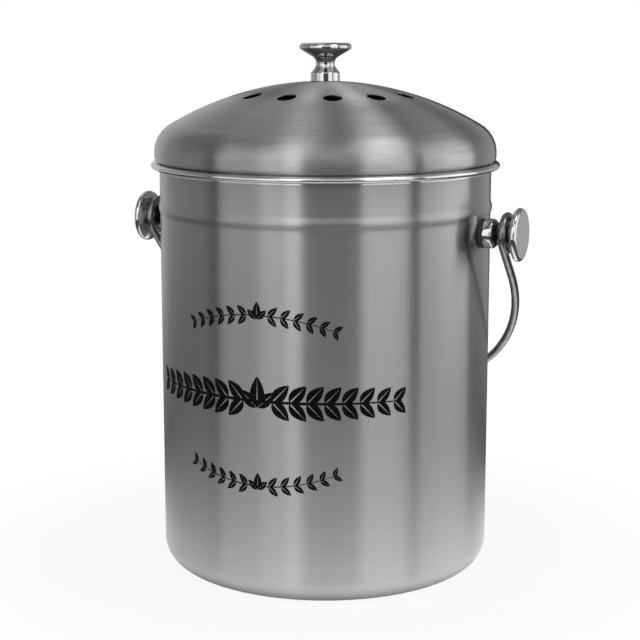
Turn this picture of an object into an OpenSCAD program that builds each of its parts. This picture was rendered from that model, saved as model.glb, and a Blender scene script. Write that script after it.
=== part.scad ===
// Lidded steel caddy: a beaded pail with a rolled rim, a wire bail that swings on two
// chromed knobs, and a lift-off vented dome lid that holds a charcoal filter in a cage.
// Origin: centre of the base, on the surface it stands on. +Z up, front -Y, bail pivot along X.

/* [Pail] */
// Outside diameter of the pail wall
pail_d = 175; // [130:1:220]
// Height from the base to the top of the rolled rim
pail_h = 216.7; // [150:0.1:300]
// Thickness of the steel sheet of pail, lid and skirt
sheet_t = 0.6; // [0.4:0.05:1]
// Outside radius between wall and base
corner_r = 13.2; // [6:0.1:20]
// Width of the oval roll at the rim
curl_w = 5.1; // [4:0.1:6]
// Height of the oval roll at the rim
curl_h = 3.5; // [3:0.1:5]
// Gap between the end of the roll and the wall
curl_gap = 0.3; // [0.1:0.05:0.6]
// Width of the flat ring that the pail stands on
foot_w = 9; // [5:0.5:15]
// Height of the raised panel inside the standing ring
panel_rise = 2.0; // [1:0.1:4]
// Width of the slope between standing ring and raised panel
panel_slope_w = 3.5; // [2:0.5:8]

/* [Bead] */
// Distance from the rim's top down to the middle of the bead
bead_drop = 23.4; // [18:0.1:26]
// Height of the bead
bead_h = 8; // [5:0.5:9]
// How far the bead stands out of the wall
bead_proud = 0.8; // [0.4:0.1:1.5]

/* [Knobs] */
// Height of a knob, base to top
knob_h = 19.8; // [17:0.1:24]
// Diameter of a knob's head
head_d = 27.4; // [22:0.1:34]
// Radius of the head's edge below its widest line
head_edge_r = 2.4; // [1.5:0.1:3]
// Radius of the head's edge above its widest line
head_top_r = 1.9; // [1.2:0.1:3]
// Diameter of the narrowest part of the neck
neck_d = 9.8; // [8.5:0.1:11]
// Height of the narrowest part of the neck above the knob's base
neck_z = 9.3; // [8.5:0.1:10]
// Radius of the hollow turned into the neck
neck_hollow_r = 4.2; // [3.8:0.1:4.5]
// Diameter of the collar at the knob's base
collar_d = 15.2; // [14:0.1:18]
// Small chamfer at the collar's foot
collar_chamfer = 0.4; // [0.2:0.1:0.8]

/* [Screws and washers] */
// Diameter of the screws' shanks
screw_d = 4.9; // [4:0.1:5.4]
// Diametral clearance of a shank in its tapped knob
thread_clear = 0.1; // [0.04:0.02:0.3]
// Diametral clearance of a shank in a drilled sheet or washer
hole_clear = 0.6; // [0.3:0.1:1]
// Depth of the tapped hole in a knob
tap_depth = 10; // [7:0.5:12]
// Gap between a screw's tip and the end of its hole
tip_clear = 1; // [0.5:0.1:2]
// Diameter of the screws' pan heads
pan_d = 9.4; // [8.5:0.1:11]
// Height of the screws' pan heads
pan_h = 2.6; // [2:0.1:3.2]
// Width of the slots in the screws' heads
slot_w = 1.2; // [0.8:0.1:1.5]
// Depth of the slots in the screws' heads
slot_depth = 1.3; // [0.8:0.1:1.5]
// Thickness of the rubber washer under each side knob
seal_t = 1.5; // [1:0.1:2.5]
// Diameter of the steel washers under the screws' heads
washer_d = 13; // [11.5:0.1:15]
// Thickness of the steel washers under the screws' heads
washer_t = 1.2; // [1:0.1:2]

/* [Bail] */
// Diameter of the bail's wire
wire_d = 4.2; // [3.4:0.1:5]
// Distance from the rim's top down to the bail's pivot
pivot_drop = 34.3; // [30:0.1:45]
// Radius of the eyes, to the middle of the wire
eye_r = 9.2; // [8.8:0.1:10.5]
// Gap between an eye and the knob head that keeps it on
eye_gap = 0.3; // [0.2:0.05:0.5]
// Angle that each eye is wound through
eye_sweep = 295; // [270:1:300]
// Length of the straight leg below each eye
leg_l = 21.8; // [12:0.1:40]
// Room for a hand between the raised bail and the lid's knob
hand_room = 38.5; // [25:0.5:60]
// Gap between the hanging bail and the pail's back
rest_gap = 0.3; // [0.2:0.05:1]

/* [Lid] */
// How far the lid's widest line lies inside the rim's outer edge
lid_inset = 1.9; // [0.5:0.1:3]
// Height from the lid's widest line up to its crown
lid_rise = 36.8; // [28:0.1:50]
// Radius of the lid's shoulder
shoulder_r = 16.5; // [10:0.1:20]
// Height of the straight band below the lid's widest line
band_h = 2.3; // [1:0.1:5]
// Outside radius of the lid's turned-in edge
hem_r = 2.2; // [1.6:0.1:2.6]
// Gap between the rim and the closed lid
lid_gap = 0.35; // [0.2:0.05:0.6]
// Radius of the flat seat for the knob
seat_r = 8.2; // [8:0.1:10]
// Number of air vents
vent_count = 12; // [6:1:16]
// Diameter of the air vents
vent_d = 10; // [5:0.5:12]
// Diameter of the circle that the vents lie on
vent_circle_d = 90; // [72:1:96]
// Turn of the first vent from the +X axis, in degrees
vent_turn = 2.9; // [-15:0.1:15]

/* [Skirt] */
// Radial gap between the skirt and the pail's mouth
skirt_gap = 0.5; // [0.3:0.05:1]
// How far the skirt reaches below the rim's top
skirt_drop = 12; // [8:0.5:15]
// How far the skirt's lower edge leans in
skirt_lean = 1; // [0.5:0.1:2]
// Height of the leaning lower edge
skirt_lean_h = 3; // [2:0.5:5]
// Gap between the skirt's wall and the lid's turned-in edge
hem_gap = 0.2; // [0.1:0.05:0.4]

/* [Filter] */
// Diameter of the charcoal filter
filter_d = 108; // [104:0.5:116]
// Thickness of the charcoal filter
filter_t = 8; // [5:0.5:10]
// Gap around the filter in its cage
filter_gap = 0.4; // [0.2:0.1:1]
// Room between the filter's top and the cage's upper edge
filter_headroom = 1; // [0.5:0.1:3]
// Wall and floor thickness of the cage
cage_t = 1.6; // [1.2:0.1:2.5]
// Gap between the cage's upper edge and the lid
cage_gap = 0.3; // [0.2:0.05:0.5]
// Outside diameter of the cage's centre post
post_d = 12; // [10:0.5:15]
// Diameter of the air holes in the cage's floor
grille_hole_d = 6.5; // [4:0.5:8]
// Number of rings of air holes in the cage's floor
grille_rings = 3; // [2:1:3]

/* [Hidden] */

$fn = 96;
wall_fn = 360;    // facets of the pail wall where a thin washer is cut to it
eps = 0.01;       // overlap that makes a cut clean
cut_room = 1;     // how far a long cut reaches past what it cuts
arc_n = 10;       // straight steps in a short arc of an outline
dome_n = 16;      // straight steps in the crown of the lid

steel = "silver";
chrome = "gainsboro";
rubber = "dimgray";
plastic = [0.16, 0.16, 0.17];
charcoal = [0.08, 0.08, 0.09];

// Pail
pail_r = pail_d / 2;
mouth_r = pail_r - sheet_t;
curl_out = [curl_w / 2, curl_h / 2];
curl_in = curl_out - [sheet_t, sheet_t];
curl_c = [mouth_r + curl_out[0], pail_h - curl_out[1]];
curl_end = -acos((sheet_t + curl_gap) / curl_out[0] - 1);
bead_z = pail_h - bead_drop;
foot_out_r = pail_r - corner_r;
foot_in_r = foot_out_r - foot_w;
panel_r = foot_in_r - panel_slope_w;

// Knob outline, as radius and height above the knob's base
collar_r = collar_d / 2;
neck_r = neck_d / 2;
head_r = head_d / 2;
lower_cone_a = 40;
flare_a = 61;
hollow_x = neck_r + neck_hollow_r;
flare_start = [hollow_x - neck_hollow_r * cos(flare_a), neck_z + neck_hollow_r * sin(flare_a)];
edge_z = knob_h - head_top_r;
edge_c = [head_r - head_edge_r, edge_z];
flare_end = edge_c + head_edge_r * [cos(flare_a), -sin(flare_a)];
cone_end = [hollow_x - neck_hollow_r * cos(lower_cone_a), neck_z - neck_hollow_r * sin(lower_cone_a)];
collar_top = cone_end[1] - (collar_r - cone_end[0]) / tan(lower_cone_a);

// Bail: where its eyes sit against the flare of the knobs
wire_r = wire_d / 2;
flare_run = flare_end - flare_start;
flare_l = norm(flare_run);
flare_normal = [flare_run[1], flare_run[0]] / flare_l;
eye_h = flare_start[1]
    + ((eye_r - flare_start[0]) * flare_normal[0] - wire_r - eye_gap) / flare_normal[1];
side_base_x = pail_r + seal_t;
eye_x = side_base_x + eye_h;
pivot_z = pail_h - pivot_drop;

// Lid
lid_r = mouth_r + curl_w - lid_inset;
hem_z = pail_h + lid_gap;
hem_c_z = hem_z + hem_r;
wide_z = hem_c_z + band_h;
shoulder_x = lid_r - shoulder_r;
shoulder_up = lid_rise - shoulder_r;
crown_r = (shoulder_x * shoulder_x + shoulder_up * shoulder_up) / (2 * shoulder_up) + shoulder_r;
crown_a = asin(shoulder_x / (crown_r - shoulder_r));
crown_c_z = wide_z + lid_rise - crown_r;
seat_a = asin(seat_r / crown_r);
seat_z = crown_c_z + crown_r * cos(seat_a);
function under_lid_z(r) = crown_c_z + sqrt(pow(crown_r - sheet_t, 2) - r * r);

// Skirt
skirt_r = mouth_r - skirt_gap;
hem_in_r = skirt_r + hem_gap;
skirt_top_z = hem_z + 2 * sheet_t;
skirt_end_z = pail_h - skirt_drop;
skirt_flange_r = lid_r - hem_r;

// Filter and cage
filter_r = filter_d / 2;
cage_in_r = filter_r + filter_gap;
cage_r = cage_in_r + cage_t;
cage_top_z = under_lid_z(cage_r) - cage_gap;
filter_z = cage_top_z - filter_headroom - filter_t;
cage_z = filter_z - cage_t;
post_r = post_d / 2;
post_top_z = seat_z - sheet_t;
grille_space = 1.9;     // distance between the holes of a ring, in their diameters
grille_margin = 0.75;   // bare floor inside and outside the rings, in ring pitches
grille_pitch = (filter_r - post_r) / (grille_rings - 1 + 2 * grille_margin);

// Bail arch: a leg, a shoulder arc and a crown arc that meet tangentially
knob_top_z = seat_z + knob_h;
bail_reach = knob_top_z - pivot_z + hand_room + wire_r;
arch_h = bail_reach - leg_l;
arch_side_r = arch_h * arch_h / eye_x;
arch_crown_r = eye_x * (eye_x + arch_h) / (2 * arch_h);
arch_side_a = atan(eye_x * (2 * arch_h + eye_x) / (2 * arch_h * (eye_x + arch_h)));
join_trim = 0.1;      // each stretch of wire ends this far short of its join
join_proud = 0.03;    // a join is this much thicker than the wire, all round
grip_r = norm([bail_reach, eye_r]);
rest_a = asin((pail_r + wire_r + rest_gap) / grip_r) + atan(eye_r / bail_reach);

// Screws
shank_r = screw_d / 2;
tap_r = shank_r + thread_clear / 2;
drill_r = shank_r + hole_clear / 2;
side_head_x = mouth_r - washer_t;
lid_head_z = cage_z - washer_t;

// Points along an arc, from angle a0 to a1
function arc(c, r, a0, a1, n = arc_n) =
    [for (i = [0:n]) c + r * [cos(a0 + (a1 - a0) * i / n), sin(a0 + (a1 - a0) * i / n)]];

// Points along an oval whose half width and half height are r
function oval(c, r, a0, a1, n) =
    [for (i = [0:n]) let (a = a0 + (a1 - a0) * i / n) c + [r[0] * cos(a), r[1] * sin(a)]];

// Points along the bead's soft swell on a wall of radius r, from below upwards
function bead(r, n = 2 * arc_n) =
    [for (i = [0:n]) [r + bead_proud * (1 - cos(360 * i / n)) / 2, bead_z - bead_h / 2 + bead_h * i / n]];

function reversed(v) = [for (i = [len(v) - 1:-1:0]) v[i]];

// Pail: one sheet from the raised base panel up the wall and round the rolled rim
module pail_outline() {
    corner_c = [foot_out_r, corner_r];
    outside = concat(
        [[0, panel_rise], [panel_r, panel_rise], [foot_in_r, 0]],
        arc(corner_c, corner_r, -90, 0),
        bead(pail_r),
        oval(curl_c, curl_in, 180, curl_end, 3 * arc_n)
    );
    inside = concat(
        [[0, panel_rise + sheet_t], [panel_r, panel_rise + sheet_t], [foot_in_r, sheet_t]],
        arc(corner_c, corner_r - sheet_t, -90, 0),
        bead(mouth_r),
        oval(curl_c, curl_out, 180, curl_end, 3 * arc_n)
    );
    polygon(concat(outside, reversed(inside)));
}

module pail_shell() {
    color(steel)
    difference() {
        rotate_extrude() pail_outline();
        translate([0, 0, pivot_z]) rotate([0, 90, 0])
            cylinder(r = drill_r, h = 2 * (pail_r + cut_room), center = true);
    }
}

// Knob: collar, hollow neck and flat round head, standing on its base
module knob_outline() {
    polygon(concat(
        [[0, 0], [collar_r - collar_chamfer, 0], [collar_r, collar_chamfer], [collar_r, collar_top]],
        arc([hollow_x, neck_z], neck_hollow_r, 180 + lower_cone_a, 180 - flare_a, 2 * arc_n),
        arc(edge_c, head_edge_r, flare_a - 90, 0, arc_n),
        arc([head_r - head_top_r, edge_z], head_top_r, 0, 90, arc_n),
        [[0, knob_h]]
    ));
}

module knob() {
    color(chrome)
    difference() {
        rotate_extrude() knob_outline();
        translate([0, 0, -eps]) cylinder(r = tap_r, h = tap_depth + eps);
    }
}

// Pan-head screw with its head's underside at z = 0 and its shank pointing up
module pan_screw(shank_l) {
    color(steel)
    difference() {
        union() {
            cylinder(r = shank_r, h = shank_l);
            translate([0, 0, -pan_h]) cylinder(r1 = (pan_d - pan_h) / 2, r2 = pan_d / 2, h = pan_h);
        }
        translate([0, 0, slot_depth / 2 - pan_h - eps])
            cube([pan_d + cut_room, slot_w, slot_depth + 2 * eps], center = true);
    }
}

// Places a child made on a vertical axis on the bail's pivot; side is 1 for right, -1 for left
module on_pivot(side, x) {
    translate([side * x, 0, pivot_z]) rotate([0, side * 90, 0]) children();
}

// Rubber washer between knob and wall, its inner face hollowed to the wall's curve
module knob_seal(side) {
    color(rubber)
    difference() {
        on_pivot(side, pail_r - seal_t) cylinder(r = collar_r, h = 2 * seal_t);
        on_pivot(side, pail_r - seal_t - eps) cylinder(r = drill_r, h = 2 * seal_t + 2 * eps);
        translate([0, 0, pivot_z - collar_d]) cylinder(r = pail_r, h = 2 * collar_d, $fn = wall_fn);
    }
}

// Steel washer inside the wall, its outer face domed to the wall's curve
module knob_washer(side) {
    color(steel)
    difference() {
        intersection() {
            on_pivot(side, side_head_x) cylinder(r = washer_d / 2, h = 2 * washer_t);
            translate([0, 0, pivot_z - washer_d]) cylinder(r = mouth_r, h = 2 * washer_d, $fn = wall_fn);
        }
        on_pivot(side, side_head_x - eps) cylinder(r = drill_r, h = 2 * washer_t + 2 * eps);
    }
}

module knob_screw(side) {
    on_pivot(side, side_head_x) pan_screw(side_base_x - side_head_x + tap_depth - tip_clear);
}

// Round wire bent to an arc about the origin, from angle a0 to a1, short of each joined end
module wire_arc(r, a0, a1, trim0 = join_trim, trim1 = join_trim) {
    start = a0 + trim0 / r * 180 / PI;
    rotate([0, 0, start])
        rotate_extrude(angle = a1 - trim1 / r * 180 / PI - start) translate([r, 0]) circle(r = wire_r);
}

// A ball a hair thicker than the wire, which joins two stretches of it
module wire_join() {
    sphere(r = wire_r + join_proud);
}

// Eye, straight leg and shoulder of one side, hanging straight down from the pivot
module bail_side() {
    translate([eye_x, 0, 0]) rotate([90, 0, 90])
        wire_arc(eye_r, 180 - eye_sweep, 180, 0);
    translate([eye_x, -eye_r, 0]) wire_join();
    translate([eye_x, -eye_r, join_trim - leg_l]) cylinder(r = wire_r, h = leg_l - 2 * join_trim);
    translate([eye_x, -eye_r, -leg_l]) wire_join();
    translate([eye_x - arch_side_r, -eye_r, -leg_l]) rotate([90, 0, 0]) {
        wire_arc(arch_side_r, -arch_side_a, 0);
        rotate([0, 0, -arch_side_a]) translate([arch_side_r, 0, 0]) wire_join();
    }
}

module bail_wire() {
    color(steel)
    translate([0, 0, pivot_z]) rotate([rest_a, 0, 0]) {
        bail_side();
        mirror([1, 0, 0]) bail_side();
        translate([0, -eye_r, arch_crown_r - bail_reach]) rotate([90, 0, 0])
            wire_arc(arch_crown_r, arch_side_a - 180, -arch_side_a);
    }
}

// Lid: flat seat, spherical crown, shoulder, straight band and turned-in edge
module lid_outline() {
    crown_c = [0, crown_c_z];
    shoulder_c = [shoulder_x, wide_z];
    hem_c = [lid_r - hem_r, hem_c_z];
    inner_seat_a = asin(seat_r / (crown_r - sheet_t));
    outside = concat(
        [[0, seat_z]],
        arc(crown_c, crown_r, 90 - seat_a, 90 - crown_a, dome_n),
        arc(shoulder_c, shoulder_r, 90 - crown_a, 0),
        arc(hem_c, hem_r, 0, -90),
        [[hem_in_r, hem_z]]
    );
    inside = concat(
        [[0, seat_z - sheet_t]],
        arc(crown_c, crown_r - sheet_t, 90 - inner_seat_a, 90 - crown_a, dome_n),
        arc(shoulder_c, shoulder_r - sheet_t, 90 - crown_a, 0),
        arc(hem_c, hem_r - sheet_t, 0, -90),
        [[hem_in_r, hem_z + sheet_t]]
    );
    polygon(concat(outside, reversed(inside)));
}

module lid_shell() {
    color(steel)
    difference() {
        rotate_extrude() lid_outline();
        for (i = [0:vent_count - 1]) {
            rotate([0, 0, -vent_turn + 360 * i / vent_count])
                translate([vent_circle_d / 2, 0, wide_z]) cylinder(r = vent_d / 2, h = lid_rise + cut_room);
        }
        translate([0, 0, wide_z]) cylinder(r = drill_r, h = lid_rise + cut_room);
    }
}

// Skirt: a ring that lies on the lid's turned-in edge and hangs inside the pail's mouth
module lid_skirt() {
    lean_z = skirt_end_z + skirt_lean_h;
    color(steel)
    rotate_extrude()
        polygon([
            [skirt_r, hem_z + sheet_t],
            [skirt_flange_r, hem_z + sheet_t],
            [skirt_flange_r, skirt_top_z],
            [skirt_r - sheet_t, skirt_top_z],
            [skirt_r - sheet_t, lean_z],
            [skirt_r - sheet_t - skirt_lean, skirt_end_z],
            [skirt_r - skirt_lean, skirt_end_z],
            [skirt_r, lean_z],
        ]);
}

module lid_knob() {
    translate([0, 0, seat_z]) knob();
}

module lid_screw() {
    translate([0, 0, lid_head_z]) pan_screw(seat_z + tap_depth - tip_clear - lid_head_z);
}

module lid_washer() {
    color(steel)
    translate([0, 0, lid_head_z])
    difference() {
        cylinder(r = washer_d / 2, h = washer_t);
        translate([0, 0, -eps]) cylinder(r = drill_r, h = washer_t + 2 * eps);
    }
}

// Filter cage: a pan with a pierced floor and a centre post that bears on the lid
module filter_cage() {
    color(plastic)
    difference() {
        union() {
            translate([0, 0, cage_z]) cylinder(r = cage_r, h = cage_top_z - cage_z);
            translate([0, 0, cage_z]) cylinder(r = post_r, h = post_top_z - cage_z);
        }
        translate([0, 0, filter_z])
        difference() {
            cylinder(r = cage_in_r, h = cage_top_z - filter_z + eps);
            cylinder(r = post_r, h = cage_top_z - filter_z + eps);
        }
        translate([0, 0, cage_z - eps]) cylinder(r = drill_r, h = post_top_z - cage_z + 2 * eps);
        for (ring = [1:grille_rings]) {
            ring_r = post_r + (ring - 1 + grille_margin) * grille_pitch;
            count = floor(PI * 2 * ring_r / (grille_hole_d * grille_space));
            for (i = [0:count - 1]) {
                rotate([0, 0, 360 * (i + ring / 2) / count])
                    translate([ring_r, 0, cage_z - eps])
                    cylinder(r = grille_hole_d / 2, h = cage_t + 2 * eps, $fn = 32);
            }
        }
    }
}

module charcoal_filter() {
    color(charcoal)
    translate([0, 0, filter_z])
    difference() {
        cylinder(r = filter_r, h = filter_t);
        translate([0, 0, -eps]) cylinder(r = post_r + filter_gap, h = filter_t + 2 * eps);
    }
}

pail_shell();
on_pivot(1, side_base_x) knob();  // side_knob_right
on_pivot(-1, side_base_x) knob();  // side_knob_left
knob_seal(1);  // knob_seal_right
knob_seal(-1);  // knob_seal_left
knob_screw(1);  // knob_screw_right
knob_screw(-1);  // knob_screw_left
knob_washer(1);  // knob_washer_right
knob_washer(-1);  // knob_washer_left
bail_wire();
lid_shell();
lid_skirt();
lid_knob();
lid_screw();
lid_washer();
filter_cage();
charcoal_filter();
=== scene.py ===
"""Looks of the lidded steel caddy: pail, bail, vented lid and filter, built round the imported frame.

Every length is in metres, in the frame of the CAD part: +Z up, the front towards -Y and the
bail's pivot along X. The studio is a small pale table among soft lights.
"""

import logging
import math
from dataclasses import dataclass
from enum import Enum

import bmesh
import bpy
from mathutils import Matrix, Vector, noise


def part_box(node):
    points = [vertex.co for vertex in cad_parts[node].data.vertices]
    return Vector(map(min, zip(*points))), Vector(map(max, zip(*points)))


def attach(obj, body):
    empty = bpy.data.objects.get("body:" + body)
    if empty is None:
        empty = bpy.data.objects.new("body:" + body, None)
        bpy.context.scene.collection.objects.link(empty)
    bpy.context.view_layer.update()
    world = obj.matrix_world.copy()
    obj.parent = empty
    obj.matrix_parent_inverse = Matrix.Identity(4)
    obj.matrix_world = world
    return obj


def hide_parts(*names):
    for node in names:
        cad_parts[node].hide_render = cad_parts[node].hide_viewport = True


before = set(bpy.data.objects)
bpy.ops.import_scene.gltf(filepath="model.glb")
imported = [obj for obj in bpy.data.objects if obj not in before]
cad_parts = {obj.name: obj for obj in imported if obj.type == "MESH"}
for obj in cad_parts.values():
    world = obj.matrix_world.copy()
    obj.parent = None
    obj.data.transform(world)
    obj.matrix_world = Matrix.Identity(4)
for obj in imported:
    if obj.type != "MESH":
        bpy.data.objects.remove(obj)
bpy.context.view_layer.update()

MM = 0.001
MERGE_DIST = 0.001 * MM
ROUND_STEPS = 3
FINE_SCALE = 900.0

Colour = tuple[float, float, float, float]
Point = tuple[float, float]
Fade = tuple[float, float]  # where a soft change starts and where it ends

WHITE: Colour = (1.0, 1.0, 1.0, 1.0)

log = logging.getLogger("caddy")


class Body(Enum):
    """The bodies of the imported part."""

    PAIL = "pail"
    BAIL = "bail"
    LID = "lid"


class Slot(Enum):
    """The record's material slots."""

    SHEET = "brushed_sheet"
    CHROME = "knob_chrome"
    WIRE = "wire_steel"
    FASTENER = "fastener_steel"
    SEAL = "seal_rubber"
    CAGE = "cage_plastic"
    CHARCOAL = "charcoal_foam"
    INK = "print_ink"


# --------------------------------------------------------------------------- shader helpers


class Wire:
    """An output socket on which Python's operators add Math nodes."""

    def __init__(self, graph: "Graph", socket: bpy.types.NodeSocket) -> None:
        """Keeps the socket with the graph that it belongs to."""
        self.graph = graph
        self.socket = socket

    def __add__(self, other: "Wire | float") -> "Wire":
        """Adds other to this."""
        return self.graph.math("ADD", self, other)

    def __sub__(self, other: "Wire | float") -> "Wire":
        """Subtracts other from this."""
        return self.graph.math("SUBTRACT", self, other)

    def __rsub__(self, other: float) -> "Wire":
        """Subtracts this from other."""
        return self.graph.math("SUBTRACT", other, self)

    def __mul__(self, other: "Wire | float") -> "Wire":
        """Multiplies this by other."""
        return self.graph.math("MULTIPLY", self, other)

    def __truediv__(self, other: "Wire | float") -> "Wire":
        """Divides this by other."""
        return self.graph.math("DIVIDE", self, other)

    def __rtruediv__(self, other: float) -> "Wire":
        """Divides other by this."""
        return self.graph.math("DIVIDE", other, self)

    __radd__ = __add__
    __rmul__ = __mul__


class Graph:
    """The node tree of a material or of the world."""

    def __init__(self, tree: bpy.types.NodeTree) -> None:
        """Takes over a node tree and empties it."""
        self.tree = tree
        tree.nodes.clear()

    def node(
        self, kind: str, settings: dict[str, str], inputs: "dict[str | int, Wire | Colour | float]"
    ) -> bpy.types.Node:
        """Adds a node.

        Args:
            kind: The node's type.
            settings: Its properties, which are set first.
            inputs: Values or links by the socket's name or number.

        Returns:
            The node.
        """
        made = self.tree.nodes.new(kind)
        for name, value in settings.items():
            setattr(made, name, value)
        for name, value in inputs.items():
            if isinstance(value, Wire):
                self.tree.links.new(value.socket, made.inputs[name])
            else:
                made.inputs[name].default_value = value
        return made

    def out(self, made: bpy.types.Node, name: str | int = 0) -> Wire:
        """Wraps one output of a node, by its name or number."""
        return Wire(self, made.outputs[name])

    def math(self, operation: str, *values: "Wire | float") -> Wire:
        """Adds a Math node with its inputs in order."""
        return self.out(self.node("ShaderNodeMath", {"operation": operation}, dict(enumerate(values))))

    def mix(self, share: Wire, a: "Wire | Colour", b: Colour) -> Wire:
        """Mixes two colours, a where share is 0 and b where it is 1."""
        return self.out(self.node("ShaderNodeMix", {"data_type": "RGBA"}, {0: share, 6: a, 7: b}), 2)

    def smooth(self, value: Wire, low: float, high: float) -> Wire:
        """Goes softly from 0 to 1 as value goes from low to high, whichever is the greater."""
        settings = {"interpolation_type": "SMOOTHSTEP"}
        return self.out(self.node("ShaderNodeMapRange", settings, {0: value, 1: low, 2: high}))

    def vector(self, x: Wire, y: Wire, z: Wire) -> Wire:
        """Joins three values to a vector."""
        return self.out(self.node("ShaderNodeCombineXYZ", {}, {0: x, 1: y, 2: z}))

    def parts(self, whole: Wire) -> list[Wire]:
        """Splits a vector into its x, y and z."""
        split = self.node("ShaderNodeSeparateXYZ", {}, {0: whole})
        return [self.out(split, i) for i in range(3)]

    def length(self, a: Wire, b: Wire) -> Wire:
        """Measures a flat vector by its two parts."""
        return self.math("SQRT", a * a + b * b)

    def position(self) -> Wire:
        """Reads the point in Object coordinates."""
        return self.out(self.node("ShaderNodeTexCoord", {}, {}), "Object")

    def grain(self, at: Wire, scale: float, detail: float = 2.0, rough: float = 0.5) -> Wire:
        """Reads noise about 0.5 with detail octaves, the finer ones as strong as rough says."""
        inputs = {"Vector": at, "Scale": scale, "Detail": detail, "Roughness": rough}
        return self.out(self.node("ShaderNodeTexNoise", {}, inputs), "Fac")

    def bump(self, height: Wire, distance: float, strength: float = 1.0) -> Wire:
        """Turns a height, as a share of the relief's distance in metres, into a normal."""
        inputs = {"Height": height, "Distance": distance, "Strength": strength}
        return self.out(self.node("ShaderNodeBump", {}, inputs))

    def glow(self, strength: float) -> bpy.types.Node:
        """Adds a white Emission shader."""
        return self.node("ShaderNodeEmission", {}, {"Color": WHITE, "Strength": strength})

    def blend(self, share: Wire, a: bpy.types.Node, b: bpy.types.Node) -> bpy.types.Node:
        """Mixes two shaders, a where share is 0 and b where it is 1."""
        return self.node("ShaderNodeMixShader", {}, {0: share, 1: self.out(a), 2: self.out(b)})


def grey(level: float, warmth: float = 0.0) -> Colour:
    """A grey with its red raised and its blue lowered by the share warmth."""
    return level * (1 + warmth), level, level * (1 - warmth), 1.0


# --------------------------------------------------------------------------- finishes


@dataclass(frozen=True)
class Finish:
    """A finish with one Principled shader, whose sockets each kind of finish works out."""

    name: str

    def sockets(self, graph: Graph) -> dict[str, Wire | float]:
        """Works out the shader's sockets by name, which each kind of finish does in its own way."""
        raise NotImplementedError

    def material(self) -> bpy.types.Material:
        """Builds the material.

        Returns:
            The material.
        """
        material = bpy.data.materials.new(self.name)
        material.use_nodes = True
        graph = Graph(material.node_tree)
        shader = graph.node("ShaderNodeBsdfPrincipled", {}, self.sockets(graph))
        graph.node("ShaderNodeOutputMaterial", {}, {"Surface": graph.out(shader)})
        return material


@dataclass(frozen=True)
class BrushedSheet(Finish):
    """Stainless sheet, brushed in fine lines round the object's upright axis.

    The lines blur towards the axis inside crown_r, and hub_r keeps them finite on the axis
    itself. A rolled rim, above rolled_z and outside rolled_r, is smoother and has a painted
    highlight: a lighter base colour.
    """

    level: float = 0.45
    tone_spread: float = 0.04
    dark_warmth: float = 0.0216
    light_warmth: float = 0.0036
    tone_fade: Fade = (0.3, 0.7)
    roughness: float = 0.33
    line_rough: float = 0.08
    cloud_rough: float = 0.05
    cloud_scale: float = 14.0
    anisotropy: float = 1.0
    smear_turn: float = 0.25
    line_width: float = 0.22 * MM
    line_turns: float = 2.2
    broad_turns: float = 0.5
    broad_lines: float = 0.12
    relief: float = 0.012 * MM
    hub_r: float = 0.1 * MM
    crown_r: float = 62 * MM
    crown_inner: float = 0.2
    crown_haze: float = 0.6
    rolled_z: float = 212.6 * MM
    rolled_z_fade: float = 0.6 * MM
    rolled_r: float = 84 * MM
    rolled_r_fade: float = 2 * MM
    rolled_polish: float = 0.15
    # painted highlight: the rolled rim's lighter base colour
    rim_highlight_level: float = 0.765
    rolled_warmth: float = 0.012

    def sockets(self, graph: Graph) -> dict[str, Wire | float]:
        """Works out the shader's sockets.

        Args:
            graph: The material's graph.

        Returns:
            Values and links by the socket's name.
        """
        whole = graph.position()
        x, y, z = graph.parts(whole)
        radius = graph.length(x, y) + self.hub_r
        around_x = x / radius * self.line_turns
        around_y = y / radius * self.line_turns
        along = (z - radius) * (1 / self.line_width)
        wide = [around_x * self.broad_turns, around_y * self.broad_turns, along * self.broad_lines]
        fine = graph.grain(graph.vector(around_x, around_y, along), scale=1.0, detail=3.0, rough=0.6)
        broad = graph.grain(graph.vector(*wide), scale=1.0)
        cloud = graph.grain(whole, self.cloud_scale, detail=3.0)
        tone = graph.smooth(fine * 0.5 + broad * 0.3 + cloud * 0.2, *self.tone_fade)
        dark = grey(self.level * (1 - self.tone_spread), self.dark_warmth)
        light = grey(self.level * (1 + self.tone_spread), self.light_warmth)
        # Painted highlight: the rolled rim gets a lighter base colour than the sheet.
        rim_highlight = grey(self.rim_highlight_level, self.rolled_warmth)
        crown = graph.smooth(radius, self.crown_r, self.crown_inner * self.crown_r) * self.crown_haze
        # The rolled rim's mask: smoother there, and with painted highlight in its base colour.
        high = graph.smooth(z, self.rolled_z - self.rolled_z_fade, self.rolled_z)
        rolled = high * graph.smooth(radius, self.rolled_r, self.rolled_r + self.rolled_r_fade)
        rough = self.roughness + (fine - 0.5) * self.line_rough + (cloud - 0.5) * self.cloud_rough + crown
        return {
            "Metallic": 1.0,
            "Anisotropic": self.anisotropy,
            "Anisotropic Rotation": self.smear_turn,
            "Base Color": graph.mix(rolled, graph.mix(tone, dark, light), rim_highlight),
            "Roughness": rough - rolled * self.rolled_polish,
            "Normal": graph.bump(fine * 0.7 + broad * 0.3, self.relief),
        }


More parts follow.
